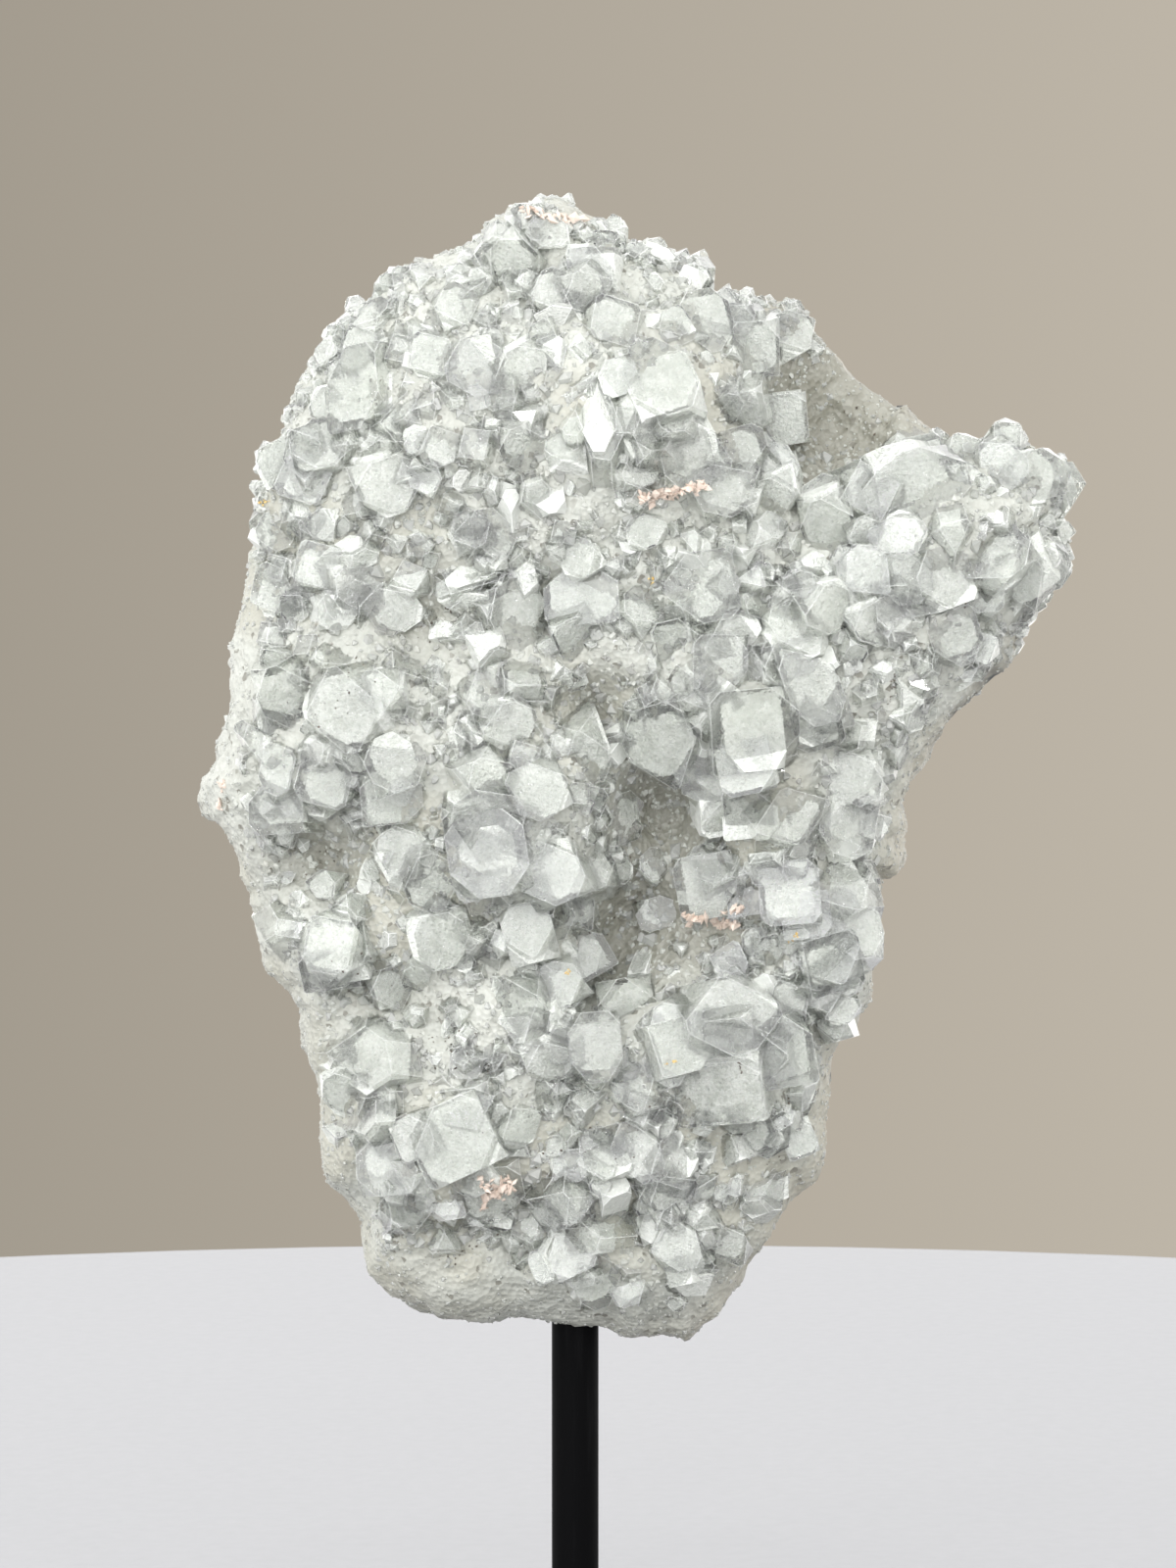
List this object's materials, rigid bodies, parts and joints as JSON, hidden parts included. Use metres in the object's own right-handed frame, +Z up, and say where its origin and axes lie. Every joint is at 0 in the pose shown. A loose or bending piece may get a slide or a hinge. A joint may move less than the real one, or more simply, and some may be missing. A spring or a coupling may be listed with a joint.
{
  "type": "apophyllite cluster on a pin stand",
  "caption": "Pale, glassy apophyllite crystals grown over a slab of rock, held upright on a slim black metal post in a square black plate.",
  "frame": {"origin": "centre of the base plate's underside, straight below the post", "axes": "+Z up along the post, the crystals face -Y, +X to the right as they are looked at"},
  "size_m": [0.1478, 0.1, 0.2672],
  "materials": {
    "apophyllite": "clear to milky crystals, faintly green-grey, over a sugary pale druse",
    "post_metal": "satin black with faint upright rub marks",
    "base_metal": "fine-grained satin black"
  },
  "bodies": {
    "root": {"crystal_cluster": "apophyllite", "stand_post": "post_metal", "stand_base": "base_metal"}
  },
  "joints": []
}
